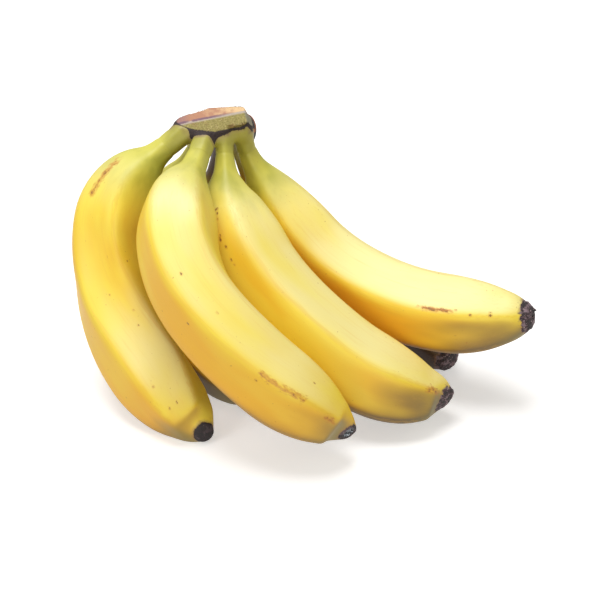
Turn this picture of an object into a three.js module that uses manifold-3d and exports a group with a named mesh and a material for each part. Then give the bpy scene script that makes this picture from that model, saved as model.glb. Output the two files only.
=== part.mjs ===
// A hand of seven ripe bananas joined at their cut crown.
// It stands on a table on its four lowest fingers, with the crown on top.
// Millimetres, +Z up. The origin is on the table, under the middle of the bunch.
// +X is the side that the fingers curl towards, and -Y is the front.

import * as THREE from 'three';
import { mergeVertices } from 'three/addons/utils/BufferGeometryUtils.js';
import { NURBSCurve } from 'three/addons/curves/NURBSCurve.js';
import Module from 'manifold-3d';

// ---- Driving dimensions ----

const RIDGES = 5; // a banana is a soft five-sided tube
const SIDES_PER_FACET = 5;
const RIDGE_DEPTH = 0.05; // how far a facet's middle lies inside the ridge, as a share of the radius
const STATIONS = 28; // rings along one finger
const SOCKET_STATIONS = 8; // rings along one socket
const SHOULDER_SOFTNESS = 0.2; // share of the swell that is rounded into the neck
const TAPER_LENGTH = 40; // from the full belly to the tip
const TAPER_POWER = 2.2; // how blunt the taper is
const TIP_ROUNDING = 1.2;
const SLOPE_STEP = 0.1;
const GAP = 0.3; // between a neck and the socket it sits in
const SOCKET_REACH = 30; // length of neck that a socket is cut with

const CROWN_CENTRE = [-42, 41.4, 114.5];
const CROWN_HALF_WIDTH = 16.5;
const CROWN_HALF_DEPTH = 11.5;
const CROWN_LOBE = { centre: [-27.5, 44.9, 109.5], half: [5.5, 6.5, 8] };
const KNIFE_CUTS = [
  { point: [-40.5, 38.4, 122.5], aboutX: 0, aboutY: -0.07, aboutZ: 0 },
  { point: [-40.5, 38.4, 122.5], aboutX: 0.6, aboutY: -0.05, aboutZ: 0 },
  { point: [-40.5, 43.9, 122.5], aboutX: -0.8, aboutY: 0, aboutZ: 0.25 },
];
const CUT_SIZE = 60; // side of the block that each knife cut takes away

const PEEL_YELLOW = 0xf2d64b;
const CROWN_BROWN = 0x6b5a33;

// Each finger: the pull points of its middle line from the crown to the tip, the radii of its
// neck, belly and tip, the length of its neck and of the swell from there to the full belly, and
// the angle of one ridge at each end, counted round the finger from the outer side of its bend.
const FINGERS = {
  finger_left: {
    spine: [[-53.8, 36.9, 115.5], [-72.5, 27.7, 103], [-81, 24.9, 95.5], [-89.5, 17.9, 76],
      [-90.5, 5.9, 54.5], [-83, -12.6, 30.5], [-65, -32.1, 15], [-48, -48.1, 6.8]],
    neck: 4.7, belly: 18.5, tip: 6, neckLength: 23, swell: 33, ridge: [12, 124],
  },
  finger_front: {
    spine: [[-45.1, 33.7, 114.2], [-51, 12.4, 107], [-55.5, 2.4, 104], [-58.5, -16.1, 92.5],
      [-53, -35.1, 76.5], [-33.5, -52.1, 57.5], [-5.5, -61.3, 32.8], [17.5, -64.6, 18.4]],
    neck: 4.7, belly: 18, tip: 5.4, neckLength: 26, swell: 33, ridge: [10, 76],
  },
  finger_middle: {
    spine: [[-37.3, 38.7, 115.5], [-36.3, 18.9, 93], [-35.2, 17.9, 89.5], [-32.2, 7.4, 79],
      [-23, -7.1, 63.5], [3.5, -25.1, 41], [36.5, -35.6, 18.5], [63, -35.1, 14.5]],
    neck: 3.3, belly: 19.5, tip: 5.8, neckLength: 24.5, swell: 39, ridge: [84, 94],
  },
  finger_right: {
    spine: [[-29.1, 37.9, 116], [-27.9, 39.9, 102.5], [-21.3, 39.6, 91], [-13.5, 35.9, 76.5],
      [0, 27.9, 58], [28, 11.9, 41.5], [67, -7.6, 39.5], [101, -18.1, 48]],
    neck: 3.8, belly: 18, tip: 6.6, neckLength: 26, swell: 40, ridge: [108, 116],
  },
  finger_back_left: {
    spine: [[-47.5, 42.9, 112], [-48.5, 44.7, 106], [-50.9, 44.4, 98.6], [-59.8, 43.6, 83],
      [-61.8, 35.4, 59.5], [-57.6, 19.4, 31.5], [-42, -4.1, 12.4], [-27.5, -21.6, 6.8]],
    neck: 4, belly: 17, tip: 5.8, neckLength: 23.5, swell: 30, ridge: [40, 100],
  },
  finger_back_middle: {
    spine: [[-39.2, 45.9, 112.5], [-38.8, 53.4, 104], [-39.5, 60.4, 88.5], [-46.5, 65.4, 59.5],
      [-34.5, 56.4, 14.5], [-14.5, 36.9, 12.5], [2.5, 16.4, 18.5], [9, 8.9, 21.5]],
    neck: 3.7, belly: 15.5, tip: 5.8, neckLength: 43, swell: 33, ridge: [60, 90],
  },
  finger_back_right: {
    spine: [[-29.3, 47, 112.5], [-30.1, 51.4, 102.5], [-29.6, 56.3, 87.5], [-19, 62.8, 64.5],
      [1.5, 61.4, 34.5], [29, 46.4, 14.3], [55, 18.9, 13.6], [68, 0.4, 11]],
    neck: 4, belly: 15.5, tip: 5.8, neckLength: 39, swell: 33, ridge: [60, 80],
  },
};

// ---- Solids with manifold-3d ----

const wasm = await Module();
wasm.setup();

// A closed geometry as a solid. Slivers where a lathe meets its axis are left out.
function solidOf(geometry) {
  const bare = geometry.clone();
  bare.deleteAttribute('normal');
  bare.deleteAttribute('uv');
  const merged = mergeVertices(bare, 1e-4);
  const index = merged.index.array;
  const triangles = [];
  for (let i = 0; i < index.length; i += 3) {
    const [a, b, c] = [index[i], index[i + 1], index[i + 2]];
    if (a !== b && b !== c && c !== a) triangles.push(a, b, c);
  }
  const mesh = new wasm.Mesh({
    numProp: 3,
    vertProperties: new Float32Array(merged.attributes.position.array),
    triVerts: new Uint32Array(triangles),
  });
  return new wasm.Manifold(mesh);
}

function geometryOf(solid) {
  const mesh = solid.getMesh();
  const geometry = new THREE.BufferGeometry();
  geometry.setAttribute('position', new THREE.BufferAttribute(mesh.vertProperties, 3));
  geometry.setIndex(new THREE.BufferAttribute(mesh.triVerts, 1));
  geometry.computeVertexNormals();
  return geometry;
}

// ---- Fingers ----

// A smooth cubic B-spline that starts at the first point and ends at the last one.
function smoothCurve(points) {
  const degree = 3;
  const spans = points.length - degree;
  const knots = Array(degree).fill(0);
  for (let i = 0; i <= spans; i += 1) knots.push(i / spans);
  knots.push(...Array(degree).fill(1));
  const weighted = points.map(([x, y, z]) => new THREE.Vector4(x, y, z, 1));
  return new NURBSCurve(degree, knots, weighted);
}

// The radius at a distance along the finger: a thin neck, a belly and a blunt taper.
function radiusAt(finger, distance, length) {
  const risen = (distance - finger.neckLength) / finger.swell;
  const swell = Math.min((risen + Math.hypot(risen, SHOULDER_SOFTNESS)) / 2, 1);
  const body = finger.neck + (finger.belly - finger.neck) * (1 - (1 - swell) ** 2);
  const left = THREE.MathUtils.clamp((length - distance) / TAPER_LENGTH, -1, 1);
  const taper = finger.tip + (finger.belly - finger.tip) * (1 - (1 - left) ** TAPER_POWER);
  return Math.min(body, taper);
}

// A ring of the skin that a ball sweeps out as it rolls along the middle line, with the radius
// above: the ring's radius and its distance along the finger.
function ringAt(finger, distance, length, extraRadius) {
  const radius = radiusAt(finger, distance, length) + extraRadius;
  const ahead = radiusAt(finger, distance + SLOPE_STEP, length);
  const behind = radiusAt(finger, distance - SLOPE_STEP, length);
  const slope = (ahead - behind) / (2 * SLOPE_STEP);
  return new THREE.Vector2(radius * Math.sqrt(1 - slope * slope), distance - radius * slope);
}

// The place, direction and outer side of the finger's middle line, at a distance along it.
// Before the start and past the end it goes straight on.
function frameAt(curve, bendAxis, distance, length) {
  const share = THREE.MathUtils.clamp(distance / length, 0, 1);
  const tangent = curve.getTangentAt(share);
  const beyond = distance - share * length;
  const place = curve.getPointAt(share).addScaledVector(tangent, beyond);
  const outward = new THREE.Vector3().crossVectors(tangent, bendAxis).normalize();
  const across = new THREE.Vector3().crossVectors(outward, tangent);
  return { place, outward, across, share };
}

// A straight turned profile, bent along the finger's middle line. Where the finger touches the
// table its peel is pressed flat.
function bentFinger(finger, from, to, extraRadius, stations) {
  const curve = smoothCurve(finger.spine);
  const length = curve.getLength();
  const end = Math.min(to, length);
  const bendAxis = new THREE.Vector3()
    .crossVectors(curve.getTangentAt(0.25), curve.getTangentAt(1))
    .normalize();

  const rings = Array.from({ length: stations + 1 }, (_, i) => (
    ringAt(finger, from + ((end - from) * i) / stations, length, extraRadius)
  ));
  const { x: tipRadius, y: tipEnd } = rings[stations];
  const profile = [
    new THREE.Vector2(0, rings[0].y),
    ...rings,
    new THREE.Vector2(tipRadius - TIP_ROUNDING, tipEnd + TIP_ROUNDING),
    new THREE.Vector2(0, tipEnd + TIP_ROUNDING),
  ];

  const geometry = new THREE.LatheGeometry(profile, RIDGES * SIDES_PER_FACET);
  const position = geometry.attributes.position;
  const vertex = new THREE.Vector3();
  for (let i = 0; i < position.count; i += 1) {
    vertex.fromBufferAttribute(position, i);
    const { place, outward, across, share } = frameAt(curve, bendAxis, vertex.y, length);
    const turn = Math.atan2(vertex.x, vertex.z);
    const facet = 1 - (RIDGE_DEPTH * (1 - Math.cos(RIDGES * turn))) / 2;
    const radius = Math.hypot(vertex.x, vertex.z) * facet;
    const ridge = THREE.MathUtils.lerp(finger.ridge[0], finger.ridge[1], share);
    const angle = THREE.MathUtils.degToRad(ridge) - turn;
    place.addScaledVector(outward, radius * Math.cos(angle));
    place.addScaledVector(across, radius * Math.sin(angle));
    position.setXYZ(i, place.x, place.y, Math.max(place.z, 0));
  }
  geometry.computeVertexNormals();
  return geometry;
}

// ---- Crown ----

// A round-edged cap, about as wide as the two rows of necks below it.
function crownCap() {
  const profile = [[0, -8], [0.72, -8], [0.92, -4.5], [1, 0], [0.99, 4], [0.93, 7], [0, 8]]
    .map(([share, height]) => new THREE.Vector2(share, height));
  const cap = new THREE.LatheGeometry(profile, 32);
  cap.rotateX(Math.PI / 2);
  cap.scale(CROWN_HALF_WIDTH, CROWN_HALF_DEPTH, 1);
  cap.translate(...CROWN_CENTRE);
  return solidOf(cap);
}

// The end of the crown that runs down the outside of the last neck.
function crownLobe() {
  const lobe = new THREE.SphereGeometry(1, 20, 12);
  lobe.scale(...CROWN_LOBE.half);
  lobe.translate(...CROWN_LOBE.centre);
  return solidOf(lobe);
}

// A block whose lower face is a knife cut: it passes through a point and is tilted by three angles.
function knifeCut({ point, aboutX, aboutY, aboutZ }) {
  const block = new THREE.BoxGeometry(CUT_SIZE, CUT_SIZE, CUT_SIZE);
  block.translate(0, 0, CUT_SIZE / 2);
  block.rotateX(aboutX);
  block.rotateY(aboutY);
  block.rotateZ(aboutZ);
  block.translate(...point);
  return solidOf(block);
}

function crown() {
  let body = crownCap().add(crownLobe());
  for (const cut of KNIFE_CUTS) body = body.subtract(knifeCut(cut));
  for (const finger of Object.values(FINGERS)) {
    const socket = bentFinger(finger, -GAP, SOCKET_REACH, GAP, SOCKET_STATIONS);
    body = body.subtract(solidOf(socket));
  }
  return geometryOf(body);
}

// ---- The bunch ----

function peel() {
  return new THREE.MeshStandardMaterial({ color: PEEL_YELLOW, roughness: 0.5, metalness: 0 });
}

function named(name, geometry, material) {
  const mesh = new THREE.Mesh(geometry, material);
  mesh.name = name;
  return mesh;
}

const bunch = new THREE.Group();
for (const [name, finger] of Object.entries(FINGERS)) {
  bunch.add(named(name, bentFinger(finger, 0, Infinity, 0, STATIONS), peel()));
}
const dryStalk = new THREE.MeshStandardMaterial({
  color: CROWN_BROWN, roughness: 0.85, metalness: 0,
});
bunch.add(named('crown', crown(), dryStalk));

export default bunch;
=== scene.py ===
# %% [markdown]
# # A bunch of bananas
#
# The real thing is a "hand": seven fingers that grew from one cushion of stalk,
# cut from the plant with a knife. The solid model of it is already there, as a
# fixed frame. This lesson builds the looks round that frame, piece by piece.

# %% Load the frame
import math

import bpy
import numpy as np
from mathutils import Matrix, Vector, noise


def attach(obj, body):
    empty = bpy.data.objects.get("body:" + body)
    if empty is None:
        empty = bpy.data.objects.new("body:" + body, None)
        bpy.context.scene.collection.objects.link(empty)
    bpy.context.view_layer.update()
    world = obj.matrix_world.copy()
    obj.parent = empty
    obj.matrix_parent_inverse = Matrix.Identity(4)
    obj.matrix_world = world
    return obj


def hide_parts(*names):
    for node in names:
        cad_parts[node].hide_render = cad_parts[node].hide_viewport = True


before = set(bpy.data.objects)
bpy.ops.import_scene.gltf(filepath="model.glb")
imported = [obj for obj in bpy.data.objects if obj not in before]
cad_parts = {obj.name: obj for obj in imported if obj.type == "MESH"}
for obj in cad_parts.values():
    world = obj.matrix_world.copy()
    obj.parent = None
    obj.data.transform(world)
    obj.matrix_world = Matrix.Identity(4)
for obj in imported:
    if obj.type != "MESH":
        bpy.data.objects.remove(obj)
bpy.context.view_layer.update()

MM = 0.001

# %% [markdown]
# ## Camera, floor and light
#
# A long lens from a metre away keeps the fingers' proportions. The camera looks
# down at about a third of a right angle, so that the cut crown and the front
# row both show.

# %% Camera
ELEVATION = math.radians(34)
TARGET = Vector((-2.0, -3.1, 47.1)) * MM
DISTANCE = 954 * MM
LENS_MM = 123.1
SENSOR_MM = 36.0

camera_data = bpy.data.cameras.new("camera")
camera_data.lens = LENS_MM
camera_data.sensor_width = SENSOR_MM
camera = bpy.data.objects.new("camera", camera_data)
bpy.context.scene.collection.objects.link(camera)
backwards = Vector((0.0, -math.cos(ELEVATION), math.sin(ELEVATION)))
camera.location = TARGET + DISTANCE * backwards
camera.rotation_euler = (math.pi / 2 - ELEVATION, 0.0, 0.0)
bpy.context.scene.camera = camera
bpy.context.scene.view_settings.view_transform = "Standard"
print("camera at", [round(v, 3) for v in camera.location])


# %% [markdown]
# One big soft lamp hangs overhead, as in a light tent, and gives broad
# highlights on the upper facets, which a painted highlight in the peel makes
# paler. Two weak ones fill the front and the left. A small hard lamp would give
# each waxy finger one glaring spot instead.

# %% Lamps
def soft_lamp(name, place, aim, size, watts, colour=(1.0, 1.0, 1.0)):
    data = bpy.data.lights.new(name, "AREA")
    data.shape = "DISK"
    data.size = size
    data.energy = watts
    data.color = colour
    lamp = bpy.data.objects.new(name, data)
    bpy.context.scene.collection.objects.link(lamp)
    lamp.location = place
    lamp.rotation_euler = (Vector(aim) - Vector(place)).to_track_quat("-Z", "Y").to_euler()
    return lamp


MIDDLE = (0.0, 0.0, 0.06)
soft_lamp("overhead", (-0.15, 0.10, 1.0), MIDDLE, 0.7, 7.8)
soft_lamp("left_fill", (-0.9, -0.6, 0.6), MIDDLE, 0.6, 3.0)
soft_lamp("front_fill", (0.2, -1.3, 0.35), MIDDLE, 0.8, 5.0, (1.0, 0.93, 0.82))

# %% Floor
FLOOR_SIZE = 6.0
bpy.ops.object.select_all(action="DESELECT")
bpy.ops.mesh.primitive_plane_add(size=FLOOR_SIZE, location=(0, 0, 0))
floor = bpy.context.object
floor.name = "floor"
print("floor:", FLOOR_SIZE, "m across")


# %% [markdown]
# ## Shader helper
#
# Peel and cut stalk take dozens of nodes, and wiring them one by one hides what
# they do. So a node's output is wrapped in a small class, and shader maths is
# written as ordinary arithmetic. Each operator adds one Math node.

# %% Shader maths as expressions
class Signal:
    """A value that flows out of a node."""

    def __init__(self, paint, socket):
        self.paint = paint
        self.socket = socket

    def maths(self, operation, *others):
        return self.paint.node(
            "ShaderNodeMath", {"operation": operation}, dict(enumerate((self, *others)))
        )

    def __add__(self, other):
        return self.maths("ADD", other)

    def __radd__(self, other):
        return self.maths("ADD", other)

    def __mul__(self, other):
        return self.maths("MULTIPLY", other)

    def __rmul__(self, other):
        return self.maths("MULTIPLY", other)

    def __sub__(self, other):
        return self.maths("SUBTRACT", other)

    def __rsub__(self, other):
        return self.paint.node(
            "ShaderNodeMath", {"operation": "SUBTRACT"}, {0: other, 1: self}
        )

    def at_least(self, other):
        return self.maths("MAXIMUM", other)


# %% One method that makes every node
class Paint:
    """Adds nodes to a new material, or to the world round the scene."""

    def __init__(self, owner, output="ShaderNodeOutputMaterial"):
        owner.use_nodes = True
        self.owner = owner
        self.tree = owner.node_tree
        self.tree.nodes.clear()
        self.output = output

    def node(self, kind, settings=None, sockets=None, output=0):
        made = self.tree.nodes.new(kind)
        for key, value in (settings or {}).items():
            setattr(made, key, value)
        for key, value in (sockets or {}).items():
            if isinstance(value, Signal):
                self.tree.links.new(value.socket, made.inputs[key])
            else:
                made.inputs[key].default_value = value
        return Signal(self, made.outputs[output]) if len(made.outputs) else None

    def attribute(self, name, output="Fac"):
        return self.node("ShaderNodeAttribute", {"attribute_name": name}, {}, output)

    def attributes(self, *names):
        return [self.attribute(name) for name in names]

    def ramp(self, value, low, high):
        """0 below low, 1 above high and a soft step between."""
        return self.node(
            "ShaderNodeMapRange",
            {"interpolation_type": "SMOOTHSTEP"},
            {"Value": value, "From Min": low, "From Max": high, "To Min": 0.0, "To Max": 1.0},
        )

    def stretch(self, vector, scale):
        return self.node(
            "ShaderNodeVectorMath", {"operation": "MULTIPLY"}, {0: vector, 1: scale}
        )

    def speckle(self, vector, scale, detail=2.0, roughness=0.5):
        return self.node(
            "ShaderNodeTexNoise",
            {},
            {"Vector": vector, "Scale": scale, "Detail": detail, "Roughness": roughness},
        )

    def mix(self, factor, below, above):
        """A colour between two others. Sockets 6 and 7 are the two colours."""
        return self.node("ShaderNodeMix", {"data_type": "RGBA"}, {0: factor, 6: below, 7: above}, 2)

    def finish(self, shader):
        self.node(self.output, {}, {"Surface": shader})
        return self.owner

    def waxy(self, tone, roughness, height, strength, depth):
        """A waxy skin in a tone that changes over it, with a fine relief."""
        bump = self.node(
            "ShaderNodeBump", {}, {"Strength": strength, "Distance": depth, "Height": height}, "Normal"
        )
        sockets = {"Base Color": tone, "Roughness": roughness, "Normal": bump, "Specular IOR Level": 0.5}
        return self.finish(self.node("ShaderNodeBsdfPrincipled", {}, sockets))


# %% Colours as a shader takes them
def colour(red, green, blue):
    """A screen colour, 0 to 255, as the linear numbers that a shader takes."""
    parts = []
    for part in (red, green, blue):
        part /= 255
        parts.append(part / 12.92 if part <= 0.04045 else ((part + 0.055) / 1.055) ** 2.4)
    return (*parts, 1.0)


WHITE = (1.0, 1.0, 1.0, 1.0)
print("screen grey 128 is", round(colour(128, 128, 128)[0], 3), "in a shader")


# %% [markdown]
# The floor and the wall look plain white to the camera. The light that bounces
# off them is dimmer and a little warm, so that it fills the undersides without
# bleaching them. The Light Path node tells the two apart. The floor stays a
# lit surface as well, so the fingers keep their soft shadow.

# %% Floor paint
def seen_directly(paint):
    """1 for the camera and for mirror and glass rays, 0 for light that bounces off."""
    eye, mirror, glass = (
        paint.node("ShaderNodeLightPath", {}, {}, name)
        for name in ("Is Camera Ray", "Is Glossy Ray", "Is Transmission Ray")
    )
    return eye.at_least(mirror).at_least(glass)


FLOOR_GLOW = 0.45
floor_paint = Paint(bpy.data.materials.new("pale_floor"))
floor_diffuse = floor_paint.node("ShaderNodeBsdfDiffuse", {}, {"Color": (0.9, 0.9, 0.9, 1.0)})
floor_white = floor_paint.node("ShaderNodeEmission", {}, {"Color": WHITE, "Strength": FLOOR_GLOW})
floor_seen = floor_paint.node("ShaderNodeAddShader", {}, {0: floor_diffuse, 1: floor_white})
floor_bounce = floor_paint.node("ShaderNodeBsdfDiffuse", {}, {"Color": (0.55, 0.53, 0.5, 1.0)})
floor_mixed = floor_paint.node(
    "ShaderNodeMixShader", {}, {0: seen_directly(floor_paint), 1: floor_bounce, 2: floor_seen}
)
floor.data.materials.append(floor_paint.finish(floor_mixed))
print("floor glows at", FLOOR_GLOW)

# %% Wall and sky
WALL_LIGHT = 0.28
studio = Paint(bpy.data.worlds.new("studio"), "ShaderNodeOutputWorld")
soft_light = studio.node(
    "ShaderNodeBackground", {}, {"Color": (1.0, 0.95, 0.87, 1.0), "Strength": WALL_LIGHT}
)
white_wall = studio.node("ShaderNodeBackground", {}, {"Color": WHITE, "Strength": 1.0})
studio_mixed = studio.node(
    "ShaderNodeMixShader", {}, {0: seen_directly(studio), 1: soft_light, 2: white_wall}
)
bpy.context.scene.world = studio.finish(studio_mixed)
print("wall lights at", WALL_LIGHT)


# %% [markdown]
# ## Measuring the fingers
#
# Each finger of the frame is a tube of rings. Starting from the pole at its
# root, the rings are reached one step at a time. Their middles give the line
# that the finger follows, and their widest points give its ridges.

# %% Rings of a finger
def rings_of(node):
    """The points of each ring, from the root to the tip, in metres."""
    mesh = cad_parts[node].data
    points = np.array([v.co[:] for v in mesh.vertices])
    spots, merged = np.unique(np.round(points, 6), axis=0, return_inverse=True)
    merged = merged.reshape(-1)
    neighbours = [set() for _ in spots]
    for face in mesh.polygons:
        corners = [int(merged[i]) for i in face.vertices]
        for a, b in zip(corners, corners[1:] + corners[:1]):
            if a != b:
                neighbours[a].add(b)
                neighbours[b].add(a)
    # The two poles have the most neighbours, and the root is the higher one.
    poles = sorted(range(len(spots)), key=lambda i: -len(neighbours[i]))[:2]
    reached = max(poles, key=lambda i: spots[i][2])
    seen, ring, rings = {reached}, [reached], []
    while ring:
        rings.append(spots[ring])
        ring = sorted({n for i in ring for n in neighbours[i]} - seen)
        seen.update(ring)
    return rings[1:-1], rings[0][0], rings[-1][0]


print("rings on the front finger:", len(rings_of("finger_front")[0]))


# %% A smooth line through the middles
def spline_through(points, knots, wanted):
    """Natural cubic spline through points at knots, read at the wanted places."""
    gaps = np.diff(knots)
    count = len(knots)
    matrix = np.eye(count)
    right = np.zeros_like(points)
    for i in range(1, count - 1):
        matrix[i, i - 1 : i + 2] = gaps[i - 1], 2 * (gaps[i - 1] + gaps[i]), gaps[i]
        slope = (points[i + 1] - points[i]) / gaps[i] - (points[i] - points[i - 1]) / gaps[i - 1]
        right[i] = 6 * slope
    bend = np.linalg.solve(matrix, right)
    i = np.clip(np.searchsorted(knots, wanted) - 1, 0, count - 2)
    shape = (slice(None),) + (None,) * (points.ndim - 1)
    h = gaps[i][shape]
    a = (knots[i + 1] - wanted)[shape]
    b = (wanted - knots[i])[shape]
    return (
        (bend[i] * a**3 + bend[i + 1] * b**3) / (6 * h)
        + (points[i] / h - bend[i] * h / 6) * a
        + (points[i + 1] / h - bend[i + 1] * h / 6) * b
    )


halfway = spline_through(np.array([0.0, 1.0, 0.0]), np.array([0.0, 1.0, 2.0]), np.array([0.5]))
print("a spline over a hill of 1 is", round(float(halfway[0]), 3), "high halfway up")


# %% The line, width and ridges of a finger
LINE_POINTS = 400
RIDGES = 5
ON_TABLE = 1e-5  # a ring is pressed flat below this height, so its ridges are not read there
TWIST_DEGREE = 5
END_MARGIN = 2 * MM
FRONT = np.array([0.0, -math.cos(ELEVATION), math.sin(ELEVATION)])


def measure_finger(node):
    rings, root, tip = rings_of(node)
    middles = np.array([root] + [ring.mean(axis=0) for ring in rings[1:-1]] + [tip])
    knots = np.concatenate([[0], np.cumsum(np.linalg.norm(np.diff(middles, axis=0), axis=1))])
    along = np.linspace(0, knots[-1], LINE_POINTS)
    line = spline_through(middles, knots, along)
    tangent = np.gradient(line, axis=0)
    tangent /= np.linalg.norm(tangent, axis=1)[:, None]
    side = np.cross(tangent[0], FRONT)
    sides = []
    for t in tangent:
        side = side - t * side.dot(t)
        side /= np.linalg.norm(side)
        sides.append(side)
    sides = np.array(sides)
    ups = np.cross(tangent, sides)
    widths, turns, places = [], [], []
    for ring, middle, knot in zip(rings[1:-1], middles[1:-1], knots[1:-1]):
        i = round(knot / knots[-1] * (LINE_POINTS - 1))
        out = ring - middle
        reach = np.linalg.norm(out, axis=1)
        angle = np.arctan2(out @ ups[i], out @ sides[i])
        free = ring[:, 2] > ON_TABLE
        phase = np.angle(np.sum((reach * np.exp(1j * RIDGES * angle))[free]))
        widths.append(reach.max())
        turns.append(phase)
        places.append(knot)
    turns = np.unwrap(np.array(turns)) / RIDGES
    turns = np.polyval(np.polyfit(places, turns, TWIST_DEGREE), along)
    widths = np.array([widths[0], *widths, widths[-1]])[:, None]
    places = np.array([places[0] - END_MARGIN, *places, places[-1] + END_MARGIN])
    widths = spline_through(widths, places, np.clip(along, places[1], places[-2]))[:, 0]
    middle = LINE_POINTS * 6 // 10  # at the belly, the ridge nearest the front becomes ridge 0
    best = max(
        range(RIDGES),
        key=lambda k: (
            math.cos(turns[middle] + k * math.tau / RIDGES) * sides[middle]
            + math.sin(turns[middle] + k * math.tau / RIDGES) * ups[middle]
        ) @ FRONT,
    )
    turns = turns + best * math.tau / RIDGES
    return {
        "along": along, "line": line, "tangent": tangent, "sides": sides, "ups": ups,
        "width": widths, "turn": turns, "length": float(knots[-1]),
    }


FINGER_NODES = [n for n in sorted(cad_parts) if n.startswith("finger")]
MEASURED = {node: measure_finger(node) for node in FINGER_NODES}
for node, m in MEASURED.items():
    print(f"{node}: {m['length'] / MM:.0f} mm long, {2 * m['width'].max() / MM:.0f} mm thick")


# %% [markdown]
# ## The fingers
#
# A banana is a soft five-sided tube. A flat grid is rolled into a tube round
# the measured line: one side of the grid runs round the finger and the other
# runs along it. The facets are flatter than a circle and the ridges rounder
# than a corner. At the end, the grid turns in over the dry flower end.

# %% Cross-section
AROUND = 140
ALONG = 300
TIP_RINGS = 60
NECK_SHARPNESS, BELLY_SHARPNESS = 5.0, 8.0


def step(low, high, values):
    """0 below low, 1 above high and a soft step between."""
    share = np.clip((values - low) / (high - low), 0, 1)
    return share * share * (3 - 2 * share)


def sharpness_at(along):
    """The necks are rounder than the bellies."""
    return NECK_SHARPNESS + (BELLY_SHARPNESS - NECK_SHARPNESS) * step(20, 60, along)


def facet_shape(angle, sharpness):
    """Radius of a soft five-sided section, 1 on average. Ridge 0 is at angle 0."""
    total = 0.0
    for k in range(RIDGES):
        facing = np.maximum(np.cos(angle - (k + 0.5) * math.tau / RIDGES), 0.0)
        total = total + facing**sharpness
    on_ridge = (2 * math.cos(math.pi / RIDGES) ** sharpness) ** (-1 / sharpness)
    return total ** (-1 / sharpness) / (0.5 + 0.5 * on_ridge)


at_ridge, at_facet = (facet_shape(turn, BELLY_SHARPNESS) for turn in (0.0, math.pi / RIDGES))
print("at the belly a ridge is", round(float(at_ridge / at_facet), 3), "times as far out as a facet")


# %% Slow waves and noise
def wave(rng, along, angle, length, cycles, turns):
    """A slow wave over the skin, between -1 and 1."""
    phase = rng.uniform(0, math.tau, 2)
    return np.sin(math.tau * cycles * along / length + phase[0]) * np.cos(turns * angle + phase[1])


def roughness_of(points, scale, seed):
    """Noise at each point, about -1 to 1."""
    return np.array([noise.noise(Vector(q) * scale + Vector((seed, 2 * seed, 0))) for q in points])


sample = roughness_of(np.arange(300).reshape(-1, 3) * 0.7, 0.55, 1)
print("noise runs from", round(sample.min(), 2), "to", round(sample.max(), 2))


# %% [markdown]
# The flower fell off the end of each finger long ago and left a dry stub. Seen
# from the side, its outline turns in over a rounded rim and may sink to a
# hollow. No two dry alike, so each tip has its own words. The stub is how long
# the rounded end is, and the dish how deep its hollow, in millimetres. The
# square is the power of its outline, where 2 is round and less is bevelled. The
# rim is the share of the end that the hollow takes up, and the waist is how much
# the finger narrows just before it. The rough is how knobbly the end is, and the
# dark how far the black part reaches up. A lean turns the last rings towards
# where the tip faces. Horns are single knobs, each with an angle, a share of the
# radius and a height.

# %% Profile of the dry end
def end_profile(length, radius, tip):
    """Places along and radii from the skin, over the rounded rim, to the middle of the end."""
    turn = np.linspace(0, math.pi / 2, TIP_RINGS // 2 + 1)
    places = length - tip["stub"] * MM * (1 - np.sin(turn) ** (2 / tip["square"]))
    radii = radius * np.cos(turn) ** (2 / tip["square"])
    hollow = (1 - np.clip(radii / (tip["rim"] * radius), 0, 1) ** 2) ** 1.5
    places = places - tip["dish"] * MM * hollow
    return np.stack([places, radii], 1)


def evenly_spaced(profile, count):
    steps = np.linalg.norm(np.diff(profile, axis=0), axis=1)
    knots = np.concatenate([[0], np.cumsum(steps)])
    wanted = np.linspace(0, knots[-1], count)
    return np.stack([np.interp(wanted, knots, profile[:, i]) for i in range(2)], 1)


PLAIN_TIP = {
    "stub": 3.0, "square": 1.5, "rim": 0.8, "dish": 1.0, "rough": 0.5, "waist": 0.0,
    "dark": 2.0, "lean": 0.0, "faces": (0.0, 0.0, 1.0), "horns": [],
}
plain_end = end_profile(0.0, 10 * MM, PLAIN_TIP)
print("the middle of a plain tip is", round(float(-plain_end[-1, 0] / MM), 1), "mm below its rim")

# %% Tips that differ
TIPS = {
    "finger_left": {
        "stub": 2.0, "square": 1.4, "dish": 0.3, "rough": 0.12, "dark": 0.8,
        "lean": 1.0, "faces": (0.42, -0.90, 0.14),
    },
    "finger_front": {
        "stub": 2.6, "square": 1.2, "rim": 0.86, "dish": 3.0, "rough": 0.3, "waist": 0.05,
        "dark": 0.3, "lean": 1.0, "faces": (0.50, -0.80, -0.30),
    },
    "finger_middle": {
        "stub": 3.4, "square": 1.3, "dish": 0.8, "rough": 0.75, "dark": 1.6,
        "lean": 1.0, "faces": (0.77, -0.61, -0.19), "horns": [(-45, 0.8, 1.3), (150, 0.3, -1.2)],
    },
    "finger_right": {
        "stub": 3.6, "square": 1.5, "dish": 0.6, "rough": 0.7, "dark": 2.2,
        "horns": [(-80, 0.5, 1.8), (10, 0.2, -1.5)],
    },
    "finger_back_right": {"rough": 0.6, "dish": 1.4, "dark": 2.4},
}
print("tips of their own:", ", ".join(TIPS))


# %% Reading and writing meshes
def unit(vectors):
    return vectors / np.linalg.norm(vectors, axis=-1, keepdims=True)


def read_vectors(mesh, what):
    """The "co" or the "normal" of every vertex, one row each."""
    flat = np.empty(len(mesh.vertices) * 3)
    mesh.vertices.foreach_get(what, flat)
    return flat.reshape(-1, 3)


def write_points(mesh, points):
    mesh.vertices.foreach_set("co", points.astype(np.float32).ravel())
    mesh.update()


def float_attribute(mesh, name, values):
    made = mesh.attributes.new(name, "FLOAT", "POINT")
    made.data.foreach_set("value", np.asarray(values, np.float32).ravel())


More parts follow.
